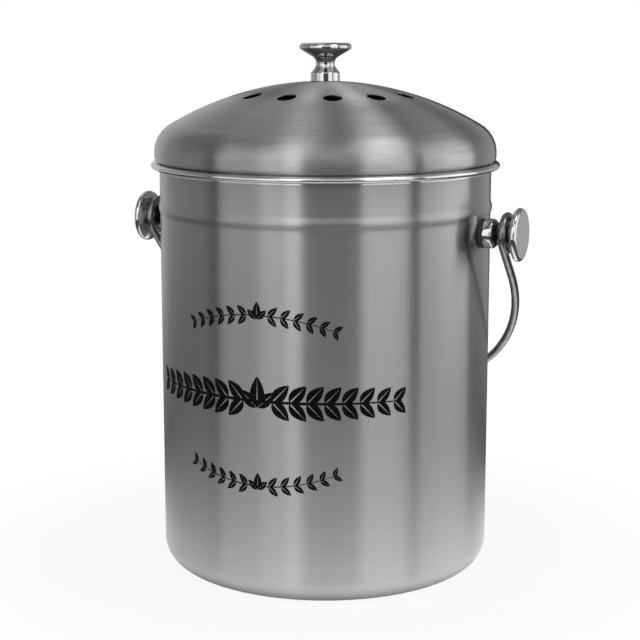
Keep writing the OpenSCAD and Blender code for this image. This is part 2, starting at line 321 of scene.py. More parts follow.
@dataclass(frozen=True)
class Chrome(Finish):
    """Bright chrome plate with a faint haze, and painted shade darkening the recess between a knob's collar
    and head.

    The recess reaches from neck_from to neck_to above the knob's base. The knob's axis is the
    upright one, or it lies along X at the height pivot_z.
    """

    base: float
    neck_from: float = 4.6 * MM
    neck_to: float = 17.8 * MM
    neck_r: float = 10 * MM
    # painted shade: the base colour of the recess between collar and head
    recess_shade_level: float = 0.16
    pivot_z: float = 0.0
    upright: bool = False
    clear_level: float = 0.66
    clear_warmth: float = -0.012
    dull_level: float = 0.594
    haze_scale: float = 90.0
    dull_fade: Fade = (0.35, 0.75)
    rough_fade: Fade = (0.45, 0.8)
    haze_rough: float = 0.05
    roughness: float = 0.04
    foot_fade: float = 0.5 * MM
    head_fade: float = 1 * MM
    side_fade: float = 3 * MM
    relief: float = 0.002 * MM

    def sockets(self, graph: Graph) -> dict[str, Wire | float]:
        """Works out the shader's sockets.

        Args:
            graph: The material's graph.

        Returns:
            Values and links by the socket's name.
        """
        whole = graph.position()
        x, y, z = graph.parts(whole)
        haze = graph.grain(whole, self.haze_scale, detail=3.0)
        clear = grey(self.clear_level, self.clear_warmth)
        plate = graph.mix(graph.smooth(haze, *self.dull_fade), clear, grey(self.dull_level))
        out = z if self.upright else graph.math("ABSOLUTE", x)
        across = x if self.upright else z - self.pivot_z
        foot = self.base + self.neck_from
        head = self.base + self.neck_to
        # Painted shade: this mask darkens the base colour in the recess between collar and head, where shade
        # falls.
        recess_shade = graph.smooth(out, foot, foot + self.foot_fade)
        recess_shade = recess_shade * graph.smooth(out, head, head - self.head_fade)
        reach = graph.length(y, across)
        recess_shade = recess_shade * graph.smooth(reach, self.neck_r + self.side_fade, self.neck_r - self.side_fade)
        return {
            "Metallic": 1.0,
            "Base Color": graph.mix(recess_shade, plate, grey(self.recess_shade_level)),
            "Roughness": self.roughness + graph.smooth(haze, *self.rough_fade) * self.haze_rough,
            "Normal": graph.bump(graph.grain(whole, FINE_SCALE), self.relief, strength=0.6),
        }


@dataclass(frozen=True)
class DrawnWire(Finish):
    """Drawn steel wire with a dull polish and faint die marks."""

    dark_level: float = 0.232
    dark_warmth: float = 0.056
    light_level: float = 0.3248
    light_warmth: float = 0.024
    roughness: float = 0.25
    patch_scale: float = 160.0
    patch_fade: Fade = (0.3, 0.7)
    patch_rough: float = 0.14
    fine_rough: float = 0.05
    relief: float = 0.01 * MM

    def sockets(self, graph: Graph) -> dict[str, Wire | float]:
        """Works out the shader's sockets.

        Args:
            graph: The material's graph.

        Returns:
            Values and links by the socket's name.
        """
        whole = graph.position()
        patch = graph.grain(whole, self.patch_scale, detail=3.0)
        fine = graph.grain(whole, FINE_SCALE)
        dark = grey(self.dark_level, self.dark_warmth)
        light = grey(self.light_level, self.light_warmth)
        return {
            "Metallic": 1.0,
            "Base Color": graph.mix(graph.smooth(patch, *self.patch_fade), dark, light),
            "Roughness": self.roughness + (patch - 0.5) * self.patch_rough + (fine - 0.5) * self.fine_rough,
            "Normal": graph.bump(fine * 0.2 + patch * 0.8, self.relief, strength=0.5),
        }


@dataclass(frozen=True)
class Zinc(Finish):
    """Bright zinc plate of the screws and washers, slightly blue."""

    cool_level: float = 0.55
    cool_warmth: float = -0.03
    dull_level: float = 0.4125
    dull_warmth: float = 0.01
    roughness: float = 0.3
    crystal_scale: float = 700.0
    crystal_rough: float = 0.2
    relief: float = 0.01 * MM

    def sockets(self, graph: Graph) -> dict[str, Wire | float]:
        """Works out the shader's sockets.

        Args:
            graph: The material's graph.

        Returns:
            Values and links by the socket's name.
        """
        crystal = graph.grain(graph.position(), self.crystal_scale, detail=3.0, rough=0.6)
        cool = grey(self.cool_level, self.cool_warmth)
        dull = grey(self.dull_level, self.dull_warmth)
        return {
            "Metallic": 1.0,
            "Base Color": graph.mix(crystal, cool, dull),
            "Roughness": self.roughness + (crystal - 0.5) * self.crystal_rough,
            "Normal": graph.bump(crystal, self.relief, strength=0.5),
        }


@dataclass(frozen=True)
class Matt(Finish):
    """A dull dark stuff with a fine grain: rubber, moulded plastic or charcoal felt."""

    level: float
    spread: float
    roughness: float
    grain_scale: float
    relief: float
    grain_rough: float = 0.15
    patch_size: float = 12.0
    tone_fade: Fade = (0.35, 0.65)

    def sockets(self, graph: Graph) -> dict[str, Wire | float]:
        """Works out the shader's sockets.

        Args:
            graph: The material's graph.

        Returns:
            Values and links by the socket's name.
        """
        whole = graph.position()
        fine = graph.grain(whole, self.grain_scale, detail=4.0, rough=0.6)
        patch = graph.grain(whole, self.grain_scale / self.patch_size)
        dark = grey(self.level * (1 - self.spread))
        light = grey(self.level * (1 + self.spread))
        return {
            "Metallic": 0.0,
            "Base Color": graph.mix(graph.smooth(fine * 0.6 + patch * 0.4, *self.tone_fade), dark, light),
            "Roughness": self.roughness + (fine - 0.5) * self.grain_rough,
            "Normal": graph.bump(fine, self.relief),
        }


@dataclass(frozen=True)
class Ink(Finish):
    """Black screen print, a little uneven in gloss."""

    level: float = 0.0025
    pore_level: float = 0.0055
    roughness: float = 0.45
    gloss: float = 0.1
    pore_scale: float = 2600.0
    pore_fade: Fade = (0.5, 0.8)
    pore_rough: float = 0.2

    def sockets(self, graph: Graph) -> dict[str, Wire | float]:
        """Works out the shader's sockets.

        Args:
            graph: The material's graph.

        Returns:
            Values and links by the socket's name.
        """
        pores = graph.grain(graph.position(), self.pore_scale)
        open_pores = graph.smooth(pores, *self.pore_fade)
        return {
            "Metallic": 0.0,
            "Specular IOR Level": self.gloss,
            "Base Color": graph.mix(open_pores, grey(self.level), grey(self.pore_level)),
            "Roughness": self.roughness + (pores - 0.5) * self.pore_rough,
        }


# --------------------------------------------------------------------------- mesh helpers


class Outline:
    """Half a section through a turned piece, as points of radius and height."""

    def __init__(self, *points: Point) -> None:
        """Starts the outline with some points."""
        self.points = list(points)
        self.rounds: dict[int, float] = {}

    def to(self, *points: Point) -> "Outline":
        """Adds points in order."""
        self.points.extend(points)
        return self

    def soft(self, radius: float, *points: Point) -> "Outline":
        """Adds corners in order, each with a small round.

        Args:
            radius: The size of the rounds.
            points: The corners.

        Returns:
            This outline.
        """
        for point in points:
            self.rounds[len(self.points)] = radius
            self.points.append(point)
        return self

    def arc(
        self, centre: Point, radius: float, start: float, end: float, steps: int, tall: float = 0
    ) -> "Outline":
        """Adds an arc, or a stretch of an oval.

        Args:
            centre: Its centre.
            radius: Its radius, or an oval's half width.
            start: The angle of its first point in degrees, from the direction of growing radius.
            end: The angle of its last point.
            steps: Its number of chords.
            tall: An oval's half height, or 0 for a round arc.

        Returns:
            This outline.
        """
        for i in range(steps + 1):
            angle = math.radians(start + (end - start) * i / steps)
            up = (tall or radius) * math.sin(angle)
            self.points.append((centre[0] + radius * math.cos(angle), centre[1] + up))
        return self

    def swell(self, radius: float, middle: float, height: float, proud: float, steps: int) -> "Outline":
        """Adds a soft bead on an upright wall.

        Args:
            radius: The wall's radius.
            middle: The height of the bead's middle.
            height: The bead's own height.
            proud: How far it stands out.
            steps: Its number of chords.

        Returns:
            This outline.
        """
        for i in range(steps + 1):
            out = proud * (1 - math.cos(math.tau * i / steps)) / 2
            self.points.append((radius + out, middle + height * (i / steps - 0.5)))
        return self


def only(parts: list, kind: type) -> list:
    """Picks the vertices or the edges out of a mixed list."""
    return [part for part in parts if isinstance(part, kind)]


def round_off(bm: bmesh.types.BMesh, parts: list, radius: float, affect: str) -> None:
    """Rounds vertices of an outline or edges of a mesh.

    Args:
        bm: The mesh.
        parts: What is rounded.
        radius: The size of the round.
        affect: "VERTICES" or "EDGES".
    """
    bmesh.ops.bevel(
        bm, geom=parts, offset=radius, offset_type="OFFSET", segments=ROUND_STEPS, profile=0.5,
        affect=affect, material=-1,
    )


def revolve(outline: Outline, closed: bool, steps: int) -> bmesh.types.BMesh:
    """Turns an outline round the Z axis.

    Args:
        outline: The half section.
        closed: True if its last point joins its first, as in a tube.
        steps: The number of facets round the axis.

    Returns:
        A bmesh with its doubles merged and its faces outwards.
    """
    bm = bmesh.new()
    points = [bm.verts.new((r, 0, z)) for r, z in outline.points]
    for a, b in zip(points, points[1:] + points[:1] if closed else points[1:]):
        bm.edges.new((a, b))
    for number, radius in outline.rounds.items():
        round_off(bm, [points[number]], radius, "VERTICES")
    bmesh.ops.spin(
        bm, geom=bm.verts[:] + bm.edges[:], cent=(0, 0, 0), axis=(0, 0, 1),
        angle=math.tau, steps=steps, use_merge=True,
    )
    bmesh.ops.remove_doubles(bm, verts=bm.verts, dist=MERGE_DIST)
    bmesh.ops.recalc_face_normals(bm, faces=bm.faces)
    return bm


def piece(bm: bmesh.types.BMesh, name: str, sharp: float = 35.0) -> bpy.types.Object:
    """Makes an object of a bmesh, smooth except at sharp edges.

    Args:
        bm: The mesh, which is freed.
        name: The object's name.
        sharp: The angle in degrees above which an edge stays sharp.

    Returns:
        The object, at the origin.
    """
    limit = math.radians(sharp)
    for face in bm.faces:
        face.smooth = True
    for edge in bm.edges:
        edge.smooth = len(edge.link_faces) == 2 and edge.calc_face_angle(0.0) < limit
    mesh = bpy.data.meshes.new(name)
    bm.to_mesh(mesh)
    bm.free()
    made = bpy.data.objects.new(name, mesh)
    bpy.context.scene.collection.objects.link(made)
    return made


def drill(target: bpy.types.Object, places: list[Matrix], radius: float, depth: float, facets: int) -> None:
    """Cuts round holes out of an object.

    Args:
        target: The object, whose mesh is replaced.
        places: Each hole's placement, at the middle of its axis.
        radius: The holes' radius.
        depth: The holes' depth.
        facets: The number of facets round a hole.
    """
    bm = bmesh.new()
    for place in places:
        bmesh.ops.create_cone(
            bm, cap_ends=True, segments=facets, radius1=radius, radius2=radius, depth=depth, matrix=place
        )
    cutter = piece(bm, "cutter")
    cut = target.modifiers.new("holes", "BOOLEAN")
    cut.operation = "DIFFERENCE"
    cut.solver = "EXACT"
    cut.object = cutter
    result = target.evaluated_get(bpy.context.evaluated_depsgraph_get())
    mesh = bpy.data.meshes.new_from_object(result)
    target.modifiers.clear()
    target.data = mesh
    bpy.data.objects.remove(cutter)


def coat(made: bpy.types.Object, material: bpy.types.Material) -> None:
    """Gives an object one finish.

    Args:
        made: The object.
        material: Its finish.
    """
    made.data.materials.clear()
    made.data.materials.append(material)


def dress(
    made: bpy.types.Object, material: bpy.types.Material, body: Body, slot: Slot, *nodes: str
) -> bpy.types.Object:
    """Gives a new piece its finish and its place in the assembly.

    Args:
        made: The piece.
        material: Its finish.
        body: The body that it rides on.
        slot: The record's slot of its finish. It is not used.
        nodes: The CAD nodes that it stands for.

    Returns:
        The piece.
    """
    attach(made, body.value)
    coat(made, material)
    if nodes:
        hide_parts(*nodes)
    log.info("%s: %d faces, on %s", made.name, len(made.data.polygons), body.value)
    return made


def repaint(node: str, material: bpy.types.Material) -> None:
    """Gives a CAD node's own mesh its finish."""
    coat(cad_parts[node], material)
    log.info("%s: CAD mesh with a new finish", node)


# --------------------------------------------------------------------------- sub-assemblies


@dataclass
class Pail:
    """The pressed pail: raised base panel, upright wall with a bead, and rolled rim."""

    rim_r: float
    height: float
    sheet_t: float = 0.6 * MM
    corner_r: float = 13.2 * MM
    curl_w: float = 5.1 * MM
    curl_h: float = 3.5 * MM
    curl_gap: float = 0.3 * MM
    foot_w: float = 9 * MM
    panel_rise: float = 2.0 * MM
    panel_slope_w: float = 3.5 * MM
    panel_round: float = 1.2 * MM
    bead_drop: float = 23.4 * MM
    bead_h: float = 8 * MM
    bead_proud: float = 0.8 * MM
    pivot_drop: float = 34.3 * MM
    screw_hole_r: float = 2.75 * MM
    facets: int = 192
    hole_facets: int = 32
    corner_steps: int = 14
    bead_steps: int = 16
    curl_inner_steps: int = 24
    curl_outer_steps: int = 28

    @property
    def mouth_r(self) -> float:
        """Inside radius of the wall."""
        return self.rim_r - self.curl_w

    @property
    def wall_r(self) -> float:
        """Outside radius of the wall."""
        return self.mouth_r + self.sheet_t

    @property
    def pivot_z(self) -> float:
        """Height of the bail's pivot."""
        return self.height - self.pivot_drop

    def section(self) -> Outline:
        """Draws the whole sheet's section, out along its outside and back along its inside.

        Returns:
            The outline.
        """
        t = self.sheet_t
        foot_out_r = self.wall_r - self.corner_r
        foot_in_r = foot_out_r - self.foot_w
        panel_r = foot_in_r - self.panel_slope_w
        corner = (foot_out_r, self.corner_r)
        half_w, half_h = self.curl_w / 2, self.curl_h / 2
        curl = (self.rim_r - half_w, self.height - half_h)
        curl_end = -math.degrees(math.acos((t + self.curl_gap) / half_w - 1))
        bead_z = self.height - self.bead_drop
        hole_top = self.pivot_z + 2 * self.screw_hole_r
        hole_foot = self.pivot_z - 2 * self.screw_hole_r
        outline = Outline((0, self.panel_rise))
        outline.soft(self.panel_round, (panel_r, self.panel_rise), (foot_in_r, 0))
        outline.arc(corner, self.corner_r, -90, 0, self.corner_steps)
        outline.to((self.wall_r, hole_foot), (self.wall_r, hole_top))
        outline.swell(self.wall_r, bead_z, self.bead_h, self.bead_proud, self.bead_steps)
        outline.arc(curl, half_w - t, 180, curl_end, self.curl_inner_steps, half_h - t)
        outline.arc(curl, half_w, curl_end, 180, self.curl_outer_steps, half_h)
        back = Outline().swell(self.mouth_r, bead_z, self.bead_h, self.bead_proud, self.bead_steps)
        outline.to(*reversed(back.points))
        outline.to((self.mouth_r, hole_top), (self.mouth_r, hole_foot))
        outline.arc(corner, self.corner_r - t, 0, -90, self.corner_steps)
        outline.soft(self.panel_round, (foot_in_r, t), (panel_r, self.panel_rise + t))
        return outline.to((0, self.panel_rise + t))

    def build(self, sheet: bpy.types.Material) -> None:
        """Models the pail.

        Args:
            sheet: The sheet's finish.
        """
        shell = piece(revolve(self.section(), False, self.facets), "pail")
        across = Matrix.Translation((0, 0, self.pivot_z)) @ Matrix.Rotation(math.pi / 2, 4, "Y")
        drill(shell, [across], self.screw_hole_r, 2 * self.rim_r, self.hole_facets)
        dress(shell, sheet, Body.PAIL, Slot.SHEET, "pail_shell")


@dataclass
class Knob:
    """A turned and chromed knob: collar, hollow neck and flat round head."""

    height: float = 19.8 * MM
    head_r: float = 13.7 * MM
    head_edge_r: float = 2.4 * MM
    head_top_r: float = 1.9 * MM
    neck_r: float = 4.9 * MM
    neck_z: float = 9.3 * MM
    hollow_r: float = 4.2 * MM
    collar_r: float = 7.6 * MM
    collar_chamfer: float = 0.4 * MM
    collar_round: float = 0.25 * MM
    lower_cone: float = 40
    flare: float = 61
    tap_r: float = 2.5 * MM
    tap_depth: float = 10 * MM
    facets: int = 128
    hollow_steps: int = 20
    head_steps: int = 12

    def section(self) -> Outline:
        """Draws the knob's section, up from its tapped hole to the middle of its head.

        Returns:
            The outline.
        """
        hollow = (self.neck_r + self.hollow_r, self.neck_z)
        cone = math.radians(self.lower_cone)
        cone_r = hollow[0] - self.hollow_r * math.cos(cone)
        cone_z = hollow[1] - self.hollow_r * math.sin(cone)
        collar_top = cone_z - (self.collar_r - cone_r) / math.tan(cone)
        edge_z = self.height - self.head_top_r
        edge = (self.head_r - self.head_edge_r, edge_z)
        top_edge = (self.head_r - self.head_top_r, edge_z)
        outline = Outline((0, self.tap_depth), (self.tap_r, self.tap_depth), (self.tap_r, 0))
        outline.to((self.collar_r - self.collar_chamfer, 0), (self.collar_r, self.collar_chamfer))
        outline.soft(self.collar_round, (self.collar_r, collar_top))
        outline.arc(hollow, self.hollow_r, 180 + self.lower_cone, 180 - self.flare, self.hollow_steps)
        outline.arc(edge, self.head_edge_r, self.flare - 90, 0, self.head_steps)
        outline.arc(top_edge, self.head_top_r, 0, 90, self.head_steps)
        return outline.to((0, self.height))

    def build(self, name: str, place: Matrix, chrome: bpy.types.Material, body: Body, node: str) -> None:
        """Models one knob.

        Args:
            name: The piece's name.
            place: Where its base and axis go.
            chrome: Its finish.
            body: The body that it rides on.
            node: The CAD node that it stands for.
        """
        bm = revolve(self.section(), False, self.facets)
        bmesh.ops.transform(bm, matrix=place, verts=bm.verts)
        dress(piece(bm, name), chrome, body, Slot.CHROME, node)


@dataclass
class Bail:
    """The bail: one wire with an eye wound at each end, hanging behind the pail."""

    eye_x: float
    pivot_z: float
    reach: float
    rest_r: float
    wire_r: float = 2.1 * MM
    eye_r: float = 9.2 * MM
    eye_sweep: float = 295
    leg_l: float = 21.8 * MM
    end_round: float = 0.5 * MM
    join_dist: float = 0.01 * MM
    facets: int = 24
    eye_steps: int = 48
    arch_steps: int = 28

    @property
    def rest_angle(self) -> float:
        """How far the hanging bail is swung back from straight down, in radians."""
        grip_r = math.hypot(self.reach, self.eye_r)
        return math.asin(self.rest_r / grip_r) + math.atan(self.eye_r / self.reach)

    def half(self) -> bmesh.types.BMesh:
        """Models the right half of the wire, hanging straight down from the pivot at the origin.

        Returns:
            Its mesh, open at the middle of the grip.
        """
        bm = bmesh.new()
        arch_h = self.reach - self.leg_l
        side_r = arch_h**2 / self.eye_x
        crown_r = self.eye_x * (self.eye_x + arch_h) / (2 * arch_h)
        side_a = math.atan2(self.eye_x * (2 * arch_h + self.eye_x), 2 * arch_h * (self.eye_x + arch_h))
        sweep = math.radians(self.eye_sweep)
        start = math.pi - sweep
        outward = Vector((0, math.cos(start), math.sin(start)))
        onward = Vector((0, -math.sin(start), math.cos(start)))
        centre = Vector((self.eye_x, 0, 0)) + outward * self.eye_r
        place = Matrix((Vector((1, 0, 0)), outward, onward)).transposed().to_4x4()
        bmesh.ops.create_circle(
            bm, segments=self.facets, radius=self.wire_r, matrix=Matrix.Translation(centre) @ place
        )
        first = bm.edges[:]
        end = self.turn(bm, first, (self.eye_x, 0, 0), (1, 0, 0), sweep, self.eye_steps)
        grown = bmesh.ops.extrude_edge_only(bm, edges=end)["geom"]
        leg_end = only(grown, bmesh.types.BMVert)
        bmesh.ops.translate(bm, vec=(0, 0, -self.leg_l), verts=leg_end)
        end = [edge for edge in only(grown, bmesh.types.BMEdge) if all(v in leg_end for v in edge.verts)]
        side_c = (self.eye_x - side_r, 0, -self.leg_l)
        end = self.turn(bm, end, side_c, (0, 1, 0), side_a, self.arch_steps)
        self.turn(bm, end, (0, 0, crown_r - self.reach), (0, 1, 0), math.pi / 2 - side_a, self.arch_steps)
        cap = bmesh.ops.contextual_create(bm, geom=first)["faces"]
        round_off(bm, [edge for face in cap for edge in face.edges], self.end_round, "EDGES")
        return bm

    @staticmethod
    def turn(
        bm: bmesh.types.BMesh, edges: list, centre: tuple, axis: tuple, angle: float, steps: int
    ) -> list[bmesh.types.BMEdge]:
        """Bends the wire on from its last ring.

        Args:
            bm: The mesh.
            edges: The last ring's edges.
            centre: The bend's centre.
            axis: The bend's axis.
            angle: The bend's angle in radians.
            steps: Its number of rings.

        Returns:
            The new last ring's edges.
        """
        verts = list({v for edge in edges for v in edge.verts})
        spun = bmesh.ops.spin(
            bm, geom=verts + edges, cent=centre, axis=axis, angle=angle, steps=steps, use_merge=False
        )
        return only(spun["geom_last"], bmesh.types.BMEdge)

    def build(self, wire: bpy.types.Material) -> None:
        """Models the bail.

        Args:
            wire: The wire's finish.
        """
        bm = self.half()
        whole = bm.verts[:] + bm.edges[:] + bm.faces[:]
        bmesh.ops.mirror(bm, geom=whole, axis="X", merge_dist=self.join_dist)
        bmesh.ops.recalc_face_normals(bm, faces=bm.faces)
        swing = Matrix.Translation((0, 0, self.pivot_z)) @ Matrix.Rotation(self.rest_angle, 4, "X")
        bmesh.ops.transform(bm, matrix=swing, verts=bm.verts)
        dress(piece(bm, "bail"), wire, Body.BAIL, Slot.WIRE, "bail_wire")


@dataclass
class Lid:
    """The domed lid with its vents, turned-in edge and locating skirt."""

    radius: float
    hem_z: float
    seat_z: float
    mouth_r: float
    rim_z: float
    sheet_t: float = 0.6 * MM
    rise: float = 36.8 * MM
    shoulder_r: float = 16.5 * MM
    band_h: float = 2.3 * MM
    hem_r: float = 2.2 * MM
    seat_r: float = 8.2 * MM
    vent_count: int = 12
    vent_r: float = 5 * MM
    vent_circle_r: float = 45 * MM
    vent_turn: float = 2.9
    screw_hole_r: float = 2.75 * MM
    skirt_gap: float = 0.5 * MM
    skirt_drop: float = 12 * MM
    skirt_lean: float = 1 * MM
    skirt_lean_h: float = 3 * MM
    skirt_edge_round: float = 0.2 * MM
    skirt_bend_round: float = 0.5 * MM
    skirt_lean_round: float = 1 * MM
    hem_gap: float = 0.2 * MM
    on_sphere: float = 0.02 * MM
    facets: int = 192
    vent_facets: int = 64
    crown_steps: int = 36
    shoulder_steps: int = 20
    hem_steps: int = 8

    @property
    def wide_z(self) -> float:
        """Height of the lid's widest line."""
        return self.hem_z + self.hem_r + self.band_h

    @property
    def crown_r(self) -> float:
        """Radius of the crown's sphere, from the dome's width, rise and shoulder."""
        across, up = self.radius - self.shoulder_r, self.rise - self.shoulder_r
        return (across**2 + up**2) / (2 * up) + self.shoulder_r

    @property
    def crown_c_z(self) -> float:
        """Height of the centre of the crown's sphere."""
        return self.wide_z + self.rise - self.crown_r

    def section(self) -> Outline:
        """Draws the dome's section, out along its outside and back along its inside.

        Returns:
            The outline, closed and clear of the axis.
        """
        t = self.sheet_t
        shoulder_x = self.radius - self.shoulder_r
        crown_a = 90 - math.degrees(math.asin(shoulder_x / (self.crown_r - self.shoulder_r)))
        seat_a = 90 - math.degrees(math.asin(self.seat_r / self.crown_r))
        inner_seat_a = 90 - math.degrees(math.asin(self.seat_r / (self.crown_r - t)))
        crown = (0, self.crown_c_z)
        shoulder = (shoulder_x, self.wide_z)
        hem = (self.radius - self.hem_r, self.hem_z + self.hem_r)
        hem_in_r = self.mouth_r - self.skirt_gap + self.hem_gap
        outline = Outline((self.screw_hole_r, self.seat_z))
        outline.arc(crown, self.crown_r, seat_a, crown_a, self.crown_steps)
        outline.arc(shoulder, self.shoulder_r, crown_a, 0, self.shoulder_steps)
        outline.arc(hem, self.hem_r, 0, -90, self.hem_steps)
        outline.to((hem_in_r, self.hem_z), (hem_in_r, self.hem_z + t))
        outline.arc(hem, self.hem_r - t, -90, 0, self.hem_steps)
        outline.arc(shoulder, self.shoulder_r - t, 0, crown_a, self.shoulder_steps)
        outline.arc(crown, self.crown_r - t, crown_a, inner_seat_a, self.crown_steps)
        return outline.to((self.screw_hole_r, self.seat_z - t))

    def true_normals(self, lid: bpy.types.Object) -> None:
        """Gives the crown's faces the exact normals of its sphere, so that the vents leave no dents.

        Args:
            lid: The lid, with its vents cut.
        """
        mesh = lid.data
        centre = Vector((0, 0, self.crown_c_z))
        normals = [Vector((0, 0, 0))] * len(mesh.loops)
        for face in mesh.polygons:
            reach = [(mesh.vertices[v].co - centre).length for v in face.vertices]
            on_outside = max(abs(r - self.crown_r) for r in reach) < self.on_sphere
            on_inside = max(abs(r - self.crown_r + self.sheet_t) for r in reach) < self.on_sphere
            if on_outside or on_inside:
                side = 1 if on_outside else -1
                for loop in face.loop_indices:
                    point = mesh.vertices[mesh.loops[loop].vertex_index].co
                    normals[loop] = side * (point - centre).normalized()
        mesh.normals_split_custom_set(normals)

    def build_dome(self, sheet: bpy.types.Material) -> None:
        """Models the domed lid.

        Args:
            sheet: The sheet's finish.
        """
        dome = piece(revolve(self.section(), True, self.facets), "lid_dome")
        out = Matrix.Translation((self.vent_circle_r, 0, self.wide_z + self.rise))
        turns = [math.radians(360 * i / self.vent_count - self.vent_turn) for i in range(self.vent_count)]
        places = [Matrix.Rotation(turn, 4, "Z") @ out for turn in turns]
        drill(dome, places, self.vent_r, 2 * self.rise, self.vent_facets)
        self.true_normals(dome)
        dress(dome, sheet, Body.LID, Slot.SHEET, "lid_shell")

    def build_skirt(self, sheet: bpy.types.Material) -> None:
        """Models the ring that locates the lid in the pail's mouth.

        Args:
            sheet: The sheet's finish.
        """
        t = self.sheet_t
        out_r = self.mouth_r - self.skirt_gap
        in_r = out_r - t
        foot = self.rim_z - self.skirt_drop
        lean_z = foot + self.skirt_lean_h
        flange_r = self.radius - self.hem_r
        flange = self.hem_z + t
        foot_corners = (in_r - self.skirt_lean, foot), (out_r - self.skirt_lean, foot)
        outline = Outline().soft(self.skirt_edge_round, (out_r, flange))
        outline.to((flange_r, flange), (flange_r, flange + t))
        outline.soft(self.skirt_bend_round, (in_r, flange + t))
        outline.soft(self.skirt_lean_round, (in_r, lean_z))
        outline.soft(self.skirt_edge_round, *foot_corners)
        outline.soft(self.skirt_lean_round, (out_r, lean_z))
        skirt = piece(revolve(outline, True, self.facets), "lid_skirt_ring")
        dress(skirt, sheet, Body.LID, Slot.SHEET, "lid_skirt")


@dataclass
class Filter:
    """The charcoal filter pad in its cage."""

    radius: float
    foot_z: float
    thickness: float
    post_r: float = 6.4 * MM
    edge_r: float = 1.6 * MM
    lump: float = 0.25 * MM
    lump_scale: float = 180.0
    sharp: float = 80.0
    rings: int = 14
    edge_steps: int = 4
    facets: int = 120

    def build(self, felt: bpy.types.Material) -> None:
        """Models the pad, a little lumpy and soft at its edges.

        Args:
            felt: The pad's finish.
        """
        e = self.edge_r
        low = self.foot_z + self.lump
        high = self.foot_z + self.thickness - self.lump
        inner = self.post_r + e
        outer = self.radius - self.lump - e
        levels = [inner + (outer - inner) * i / self.rings for i in range(1, self.rings)]
        outline = Outline().arc((inner, low + e), e, 180, 270, self.edge_steps)
        outline.to(*[(r, low) for r in levels])
        outline.arc((outer, low + e), e, -90, 0, self.edge_steps)
        outline.arc((outer, high - e), e, 0, 90, self.edge_steps)
        outline.to(*[(r, high) for r in reversed(levels)])
        outline.arc((inner, high - e), e, 90, 180, self.edge_steps)
        bm = revolve(outline, True, self.facets)
        bm.normal_update()
        for vert in bm.verts:
            vert.co += vert.normal * self.lump * noise.noise(vert.co * self.lump_scale)
        dress(piece(bm, "filter_pad", self.sharp), felt, Body.LID, Slot.CHARCOAL, "charcoal_filter")


@dataclass
class Garland:
    """A stem with pairs of leaves, printed on the pail's front and arched by its rise."""

    end_z: float
    half_span: float
    rise: float
    pairs: int
    leaf_l: float
    leaf_w: float
    stem_w: float
    tilt: float = 46
    end_shrink: float = 0.3
    first_pair: float = 0.9
    end_pairs: float = 0.4
    crest_drop: float = 0.25
    crest_lean: float = 50
    crest_gain: float = 1.25
    crest_width: float = 0.5

    def at(self, share: float) -> Vector:
        """Finds the stem's point at a share from -1 to 1, with x along the unrolled wall and y up."""
        return Vector((share * self.half_span, self.end_z + self.rise * (1 - share**2), 0))

    def slope(self, share: float) -> float:
        """Finds the stem's slope in radians at a share from -1 to 1."""
        return math.atan2(-2 * self.rise * share, self.half_span)

    def leaves(self) -> list[tuple[Vector, float, float, float]]:
        """Places the leaves, which shrink towards both ends, and the three of the crest.

        Returns:
            Each leaf's foot, its direction in radians, its length and its width.
        """
        found = []
        for side in (1, -1):
            for i in range(self.pairs):
                share = side * (i + self.first_pair) / (self.pairs + self.end_pairs)
                size = 1 - self.end_shrink * share**2
                along = self.slope(share) + (0 if side > 0 else math.pi)
                for lean in (self.tilt, -self.tilt):
                    facing = along + side * math.radians(lean)
                    found.append((self.at(share), facing, self.leaf_l * size, self.leaf_w * size))
        foot = self.at(0) - Vector((0, self.crest_drop * self.leaf_l, 0))
        for lean in (-self.crest_lean, 0, self.crest_lean):
            length = self.leaf_l * (1 if lean else self.crest_gain)
            found.append((foot, math.radians(90 + lean), length, self.crest_width * length))
        return found


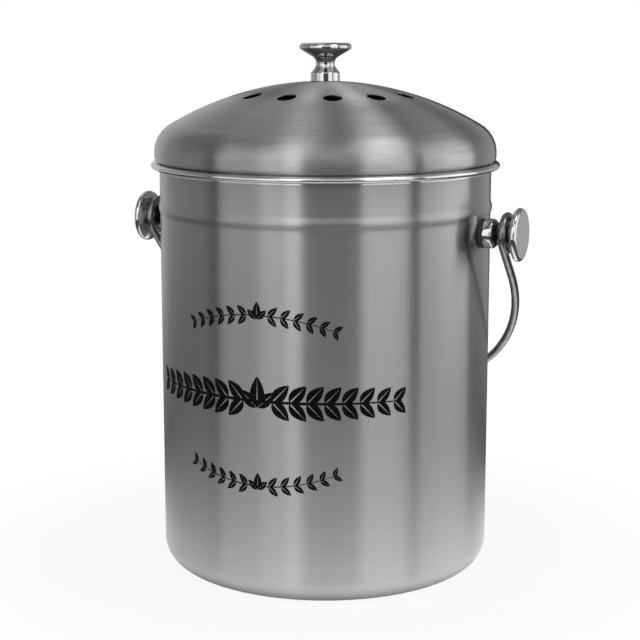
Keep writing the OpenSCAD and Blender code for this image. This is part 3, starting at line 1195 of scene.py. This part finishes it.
@dataclass
class Emblem:
    """The generic leaf print on the pail's front."""

    wall_r: float
    stand_off: float = 0.04 * MM
    film_t: float = 0.05 * MM
    leaf_steps: int = 10
    leaf_belly: float = 0.8
    leaf_blunt: float = 0.85
    rib_share: float = 0.06
    stem_steps: int = 48
    stem_end: float = 0.35

    @staticmethod
    def garlands() -> list[Garland]:
        """Lists the three rows, from the upper arch to the lower bow.

        Returns:
            The garlands.
        """
        small = {"half_span": 42 * MM, "pairs": 6, "stem_w": 0.6 * MM, "leaf_l": 6.8 * MM, "leaf_w": 3.2 * MM}
        return [
            Garland(end_z=140 * MM, rise=8 * MM, **small),
            Garland(
                end_z=105 * MM, rise=0, half_span=74 * MM, pairs=8,
                stem_w=1.5 * MM, leaf_l=12.5 * MM, leaf_w=6.8 * MM,
            ),
            Garland(end_z=69.5 * MM, rise=-8 * MM, **small),
        ]

    def leaf(self, bm: bmesh.types.BMesh, root: Vector, angle: float, length: float, width: float) -> None:
        """Adds one leaf of two halves with a bare midrib between them, on the unrolled wall.

        Args:
            bm: The mesh, with x along the wall and y up.
            root: The leaf's foot.
            angle: Its direction in radians, from x.
            length: Its length.
            width: Its full width.
        """
        for side in (1, -1):
            grid = bmesh.ops.create_grid(bm, x_segments=self.leaf_steps, y_segments=2, size=0.5)["verts"]
            for vert in grid:
                along = vert.co.x + 0.5
                across = vert.co.y + 0.5
                edge = width / 2 * math.sin(math.pi * along**self.leaf_belly) ** self.leaf_blunt
                rib = min(self.rib_share * width * (1 - along), edge)
                vert.co = Vector((along * length, side * (rib + (edge - rib) * across), 0))
            bmesh.ops.rotate(bm, cent=(0, 0, 0), matrix=Matrix.Rotation(angle, 3, "Z"), verts=grid)
            bmesh.ops.translate(bm, vec=root, verts=grid)

    def stem(self, bm: bmesh.types.BMesh, garland: Garland) -> None:
        """Adds a garland's stem, a thin strip that narrows towards both ends.

        Args:
            bm: The mesh, with x along the wall and y up.
            garland: The garland.
        """
        last = self.stem_steps
        path = [garland.at(2 * i / last - 1) for i in range(last + 1)]
        grid = bmesh.ops.create_grid(bm, x_segments=last, y_segments=1, size=0.5)["verts"]
        for vert in grid:
            share = vert.co.x + 0.5
            i = min(last - 1, int(share * last))
            onward = (path[i + 1] - path[i]).normalized()
            here = path[i].lerp(path[i + 1], share * last - i)
            swell = self.stem_end + (1 - self.stem_end) * math.sin(math.pi * share)
            vert.co = here + Vector((-onward.y, onward.x, 0)) * vert.co.y * garland.stem_w * swell

    def build(self, ink: bpy.types.Material) -> None:
        """Prints the emblem on the wall.

        Args:
            ink: Its finish.
        """
        bm = bmesh.new()
        for garland in self.garlands():
            self.stem(bm, garland)
            for leaf in garland.leaves():
                self.leaf(bm, *leaf)
        bmesh.ops.remove_doubles(bm, verts=bm.verts, dist=MERGE_DIST)
        radius = self.wall_r + self.stand_off
        for vert in bm.verts:
            turn = vert.co.x / self.wall_r
            vert.co = Vector((radius * math.sin(turn), -radius * math.cos(turn), vert.co.y))
        bmesh.ops.recalc_face_normals(bm, faces=bm.faces)
        for face in bm.faces:
            if face.normal.dot(face.calc_center_median() * Vector((1, 1, 0))) < 0:
                face.normal_flip()
        printed = piece(bm, "front_print")
        film = printed.modifiers.new("film", "SOLIDIFY")
        film.thickness = self.film_t
        film.offset = 0
        dress(printed, ink, Body.PAIL, Slot.INK)


# --------------------------------------------------------------------------- studio


@dataclass(frozen=True)
class Softbox:
    """A soft rectangular light that faces the object.

    Its azimuth is measured from the camera's side, positive to the right, and span is the angle
    that it fills from side to side. An upright box stands from low to high. A raised one hangs at
    its elevation and is as long as high minus low.
    """

    name: str
    azimuth: float
    span: float
    low: float
    high: float
    level: float
    elevation: float = 0.0
    distance: float = 1.6

    def build(self, camera_azimuth: float) -> None:
        """Makes the light.

        Args:
            camera_azimuth: The camera's azimuth in degrees.
        """
        width = 2 * self.distance * math.tan(math.radians(self.span / 2))
        height = self.high - self.low
        lamp = bpy.data.lights.new(self.name, "AREA")
        lamp.shape = "RECTANGLE"
        lamp.size = width
        lamp.size_y = height
        lamp.energy = self.level * math.pi * width * height
        angle = math.radians(camera_azimuth + self.azimuth)
        raised = math.radians(self.elevation)
        flat = self.distance * math.cos(raised)
        up = self.low + height / 2 + self.distance * math.sin(raised)
        made = bpy.data.objects.new(self.name, lamp)
        made.location = (flat * math.sin(angle), -flat * math.cos(angle), up)
        made.rotation_euler = (math.pi / 2 - raised, 0, angle)
        made.visible_camera = False
        bpy.context.scene.collection.objects.link(made)


@dataclass(frozen=True)
class Table:
    """The round pale table, which fades to the white surroundings.

    The eye sees a trace of the object's shadow out to shade_r and plain white beyond clear_r. The
    metal sees a bright ring from bright_r on, which fades into the dark from fade_r to dim_r, and
    a dull glow inside under_r. From below, the table is clear. hub_r keeps a division finite.
    """

    azimuth: float
    dark_level: float
    radius: float = 0.75
    facets: int = 128
    top_level: float = 0.9
    white_share: float = 0.9
    shade_r: float = 0.10
    clear_r: float = 0.26
    near_r: float = 0.081
    bright_r: float = 0.095
    ring_level: float = 1.45
    ring_share: float = 0.8
    ring_lean: float = 0.18
    fade_r: float = 0.11
    dim_r: float = 0.27
    under_r: float = 0.0754
    under_fade: float = 1 * MM
    under_level: float = 0.5
    hub_r: float = 1 * MM

    def material(self) -> bpy.types.Material:
        """Builds the table's surface.

        Returns:
            The material.
        """
        material = bpy.data.materials.new("table_top")
        material.use_nodes = True
        graph = Graph(material.node_tree)
        x, y, _ = graph.parts(graph.position())
        radius = graph.length(x, y)
        turn = math.radians(self.azimuth)
        lean = (x * math.cos(turn) + y * math.sin(turn)) / (radius + self.hub_r)
        path = graph.node("ShaderNodeLightPath", {}, {})
        seen = graph.out(path, "Is Camera Ray")
        glossy, through = graph.out(path, "Is Glossy Ray"), graph.out(path, "Is Transmission Ray")
        mirrored = graph.math("MAXIMUM", glossy, through)
        white = self.white_share + graph.smooth(radius, self.shade_r, self.clear_r) * (1 - self.white_share)
        ring = graph.smooth(radius, self.near_r, self.bright_r) * (self.ring_share + lean * self.ring_lean)
        far = graph.smooth(radius, self.fade_r, self.dim_r)
        foot = graph.smooth(radius, self.under_r, self.under_r - self.under_fade)
        shown = graph.node("ShaderNodeBsdfDiffuse", {}, {"Color": grey(self.top_level)})
        shown = graph.blend(seen * white, shown, graph.glow(1.0))
        shown = graph.blend(mirrored * ring, shown, graph.glow(self.ring_level))
        shown = graph.blend(mirrored * far, shown, graph.glow(self.dark_level))
        shown = graph.blend(mirrored * foot, shown, graph.glow(self.under_level))
        below = graph.out(graph.node("ShaderNodeNewGeometry", {}, {}), "Backfacing")
        shown = graph.blend(below, shown, graph.node("ShaderNodeBsdfTransparent", {}, {}))
        graph.node("ShaderNodeOutputMaterial", {}, {"Surface": graph.out(shown)})
        return material

    def build(self) -> None:
        """Makes the table."""
        bm = bmesh.new()
        bmesh.ops.create_circle(bm, cap_ends=True, segments=self.facets, radius=self.radius)
        table = piece(bm, "table")
        table.data.materials.append(self.material())


@dataclass(frozen=True)
class Surroundings:
    """The world: white to the eye, and dim with a pale backdrop to the metal.

    Each fade goes by one part of the direction: back and front by how far it points to the
    camera, side by how far it points to the right, and foot and top by how far it points up.
    The shut part is black. hub_r keeps a division finite straight up and down.
    """

    azimuth: float
    dark_level: float
    side_level: float = 0.46
    side_front: Fade = (0.25, -0.05)
    ceiling_level: float = 0.21
    ceiling_foot: Fade = (0.05, 0.4)
    brow_level: float = 0.95
    brow_foot: Fade = (0.15, 0.4)
    brow_top: Fade = (0.85, 0.7)
    brow_front: Fade = (0.8, 0.95)
    backdrop_level: float = 0.55
    backdrop_back: Fade = (-0.72, -0.86)
    backdrop_side: Fade = (0.05, -0.05)
    shut_back: Fade = (-0.9, -0.97)
    shut_side: Fade = (-0.05, 0.05)
    shut_top: Fade = (0.2, 0.08)
    hub_r: float = 0.001

    def build(self) -> None:
        """Makes the world."""
        world = bpy.data.worlds.new("studio")
        world.use_nodes = True
        bpy.context.scene.world = world
        graph = Graph(world.node_tree)
        direction = graph.out(graph.node("ShaderNodeTexCoord", {}, {}), "Generated")
        x, y, z = graph.parts(direction)
        turn = math.radians(self.azimuth)
        flat = graph.length(x, y) + self.hub_r
        towards = (x * math.sin(turn) - y * math.cos(turn)) / flat
        aside = (x * math.cos(turn) + y * math.sin(turn)) / flat
        shut = graph.smooth(towards, *self.shut_back) * graph.smooth(aside, *self.shut_side)
        shut = shut * graph.smooth(z, *self.shut_top)
        behind = graph.smooth(towards, *self.backdrop_back) * graph.smooth(aside, *self.backdrop_side)
        brow = graph.smooth(z, *self.brow_foot) * graph.smooth(z, *self.brow_top)
        brow = brow * graph.smooth(towards, *self.brow_front)
        beside = graph.smooth(towards, *self.side_front)
        above = graph.smooth(z, *self.ceiling_foot)
        level = self.dark_level + beside * (self.side_level - self.dark_level)
        level = level + above * (self.ceiling_level - level)
        level = level + brow * (self.brow_level - level)
        level = level + behind * (self.backdrop_level - level)
        level = level * (1 - shut)
        seen = graph.out(graph.node("ShaderNodeLightPath", {}, {}), "Is Camera Ray")
        level = level + seen * (1 - level)
        background = graph.node("ShaderNodeBackground", {}, {"Color": WHITE, "Strength": level})
        graph.node("ShaderNodeOutputWorld", {}, {"Surface": graph.out(background)})


@dataclass(frozen=True)
class Studio:
    """The camera, the table, the surroundings and the lights."""

    azimuth: float = 22.6
    distance: float = 0.875
    height: float = 0.2938
    pitch: float = 10.56
    pan: float = 0.184
    lens: float = 92.9
    sensor_w: float = 36.0
    dark_level: float = 0.085

    @staticmethod
    def boxes() -> list[Softbox]:
        """Lists the soft lights, from left to right as the camera sees them reflected.

        Returns:
            The lights.
        """
        # Name, azimuth, span, low, high, level and, for a raised one, its elevation.
        return [
            Softbox("left_fill", -59.5, 31, -0.5, 1.3, 0.75),
            Softbox("left_key", -36.5, 15, -0.5, 1.5, 1.2),
            Softbox("left_core", -21.8, 12.4, -0.5, 1.5, 1.4),
            Softbox("left_crown", -28, 16, -0.3, 0.3, 1.2, 64),
            Softbox("right_key", 41, 34, -0.5, 1.5, 1.15),
            Softbox("right_crown", 62, 22, -0.3, 0.3, 2.6, 64),
            Softbox("right_rim", 89.5, 47, -0.5, 1.45, 1.0),
        ]

    def build_camera(self) -> None:
        """Makes the camera."""
        data = bpy.data.cameras.new("camera")
        data.lens = self.lens
        data.sensor_width = self.sensor_w
        angle = math.radians(self.azimuth)
        camera = bpy.data.objects.new("camera", data)
        camera.location = (self.distance * math.sin(angle), -self.distance * math.cos(angle), self.height)
        camera.rotation_euler = (math.radians(90 - self.pitch), 0, math.radians(self.azimuth + self.pan))
        bpy.context.scene.collection.objects.link(camera)
        bpy.context.scene.camera = camera

    def build(self) -> None:
        """Makes the whole studio."""
        self.build_camera()
        Table(self.azimuth, self.dark_level).build()
        Surroundings(self.azimuth, self.dark_level).build()
        for box in self.boxes():
            box.build(self.azimuth)
        bpy.context.scene.view_settings.view_transform = "Standard"


# --------------------------------------------------------------------------- assembly


def main() -> None:
    logging.basicConfig(level=logging.INFO, format="%(name)s %(message)s")
    Studio().build()

    sheet = BrushedSheet("brushed_sheet").material()
    zinc = Zinc("fastener_steel").material()
    rubber = Matt(
        "seal_rubber", level=0.03, spread=0.25, roughness=0.62, grain_scale=1500.0, relief=0.02 * MM
    ).material()
    plastic = Matt(
        "cage_plastic", level=0.045, spread=0.2, roughness=0.48, grain_scale=1100.0, relief=0.015 * MM
    ).material()
    felt = Matt(
        "charcoal_felt", level=0.022, spread=0.5, roughness=0.95, grain_scale=800.0, relief=0.25 * MM
    ).material()
    wire = DrawnWire("wire_steel").material()

    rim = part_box("pail_shell")[1]
    pail = Pail(rim.x, rim.z)
    pail.build(sheet)
    Emblem(pail.wall_r).build(Ink("print_ink").material())

    knob = Knob()
    side_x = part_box("side_knob_right")[0].x
    side_chrome = Chrome("side_knob_chrome", side_x, pivot_z=pail.pivot_z).material()
    for name, side in (("right", 1), ("left", -1)):
        turn = Matrix.Rotation(side * math.pi / 2, 4, "Y")
        place = Matrix.Translation((side * side_x, 0, pail.pivot_z)) @ turn
        knob.build(f"{name}_knob", place, side_chrome, Body.PAIL, f"side_knob_{name}")
        repaint(f"knob_seal_{name}", rubber)
        repaint(f"knob_washer_{name}", zinc)
        repaint(f"knob_screw_{name}", zinc)

    hand_room = 38.5 * MM
    rest_gap = 0.3 * MM
    wire_r = Bail.wire_r
    eye_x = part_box("bail_wire")[1].x - wire_r
    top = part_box("lid_knob")[1].z
    reach = top - pail.pivot_z + hand_room + wire_r
    Bail(eye_x, pail.pivot_z, reach, pail.wall_r + wire_r + rest_gap).build(wire)

    # The lid has no rolled rim, so its sheet's rolled_z lies far above it.
    coarse = {"tone_spread": 0.17, "line_width": 0.38 * MM, "line_turns": 7.0, "relief": 0.03 * MM}
    lid_sheet = BrushedSheet("brushed_lid", rolled_z=1.0, **coarse).material()
    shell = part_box("lid_shell")
    seat_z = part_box("lid_knob")[0].z
    lid = Lid(shell[1].x, shell[0].z, seat_z, pail.mouth_r, pail.height)
    lid.build_dome(lid_sheet)
    lid.build_skirt(sheet)
    # The lid knob's painted shade in its recess is lighter and reaches wider than the side knobs'.
    lid_recess_shade = {"neck_from": 9 * MM, "neck_to": 18.3 * MM, "neck_r": 15 * MM, "recess_shade_level": 0.38}
    lid_chrome = Chrome("lid_knob_chrome", seat_z, upright=True, **lid_recess_shade).material()
    knob.build("lid_knob_turned", Matrix.Translation((0, 0, seat_z)), lid_chrome, Body.LID, "lid_knob")
    repaint("lid_washer", zinc)
    repaint("lid_screw", zinc)
    repaint("filter_cage", plastic)
    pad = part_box("charcoal_filter")
    Filter(pad[1].x, pad[0].z, pad[1].z - pad[0].z).build(felt)


if __name__ == "__main__":
    main()
